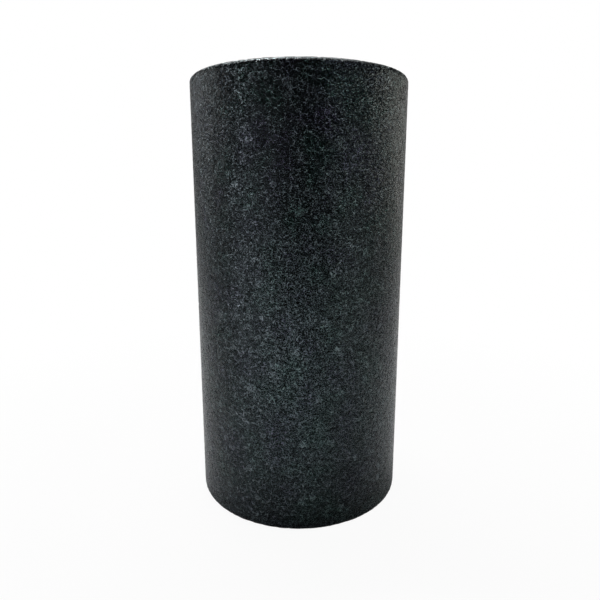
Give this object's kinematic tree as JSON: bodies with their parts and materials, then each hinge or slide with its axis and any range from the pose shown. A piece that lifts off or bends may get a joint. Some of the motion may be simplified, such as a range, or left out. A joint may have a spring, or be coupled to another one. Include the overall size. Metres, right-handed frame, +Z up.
{
  "type": "massage roller",
  "caption": "Solid round massage roller of dense black moulded bead foam, with flat ends and lightly rounded rims; it rolls on the floor under the body.",
  "frame": {"origin": "middle of the bottom end face, on the surface that the roller stands on", "axes": "+Z up along the roller's axis; X and Y lie in the end face, and the roller is round about Z"},
  "size_m": [0.1524, 0.1524, 0.3048],
  "materials": {
    "bead_foam": "black moulded bead foam: fused beads 3 to 5 mm across with flattened faces, fine grooves and a few pits between them, matt with a soft sheen at grazing angles"
  },
  "bodies": {
    "root": {"roller_body": "bead_foam"}
  },
  "joints": []
}
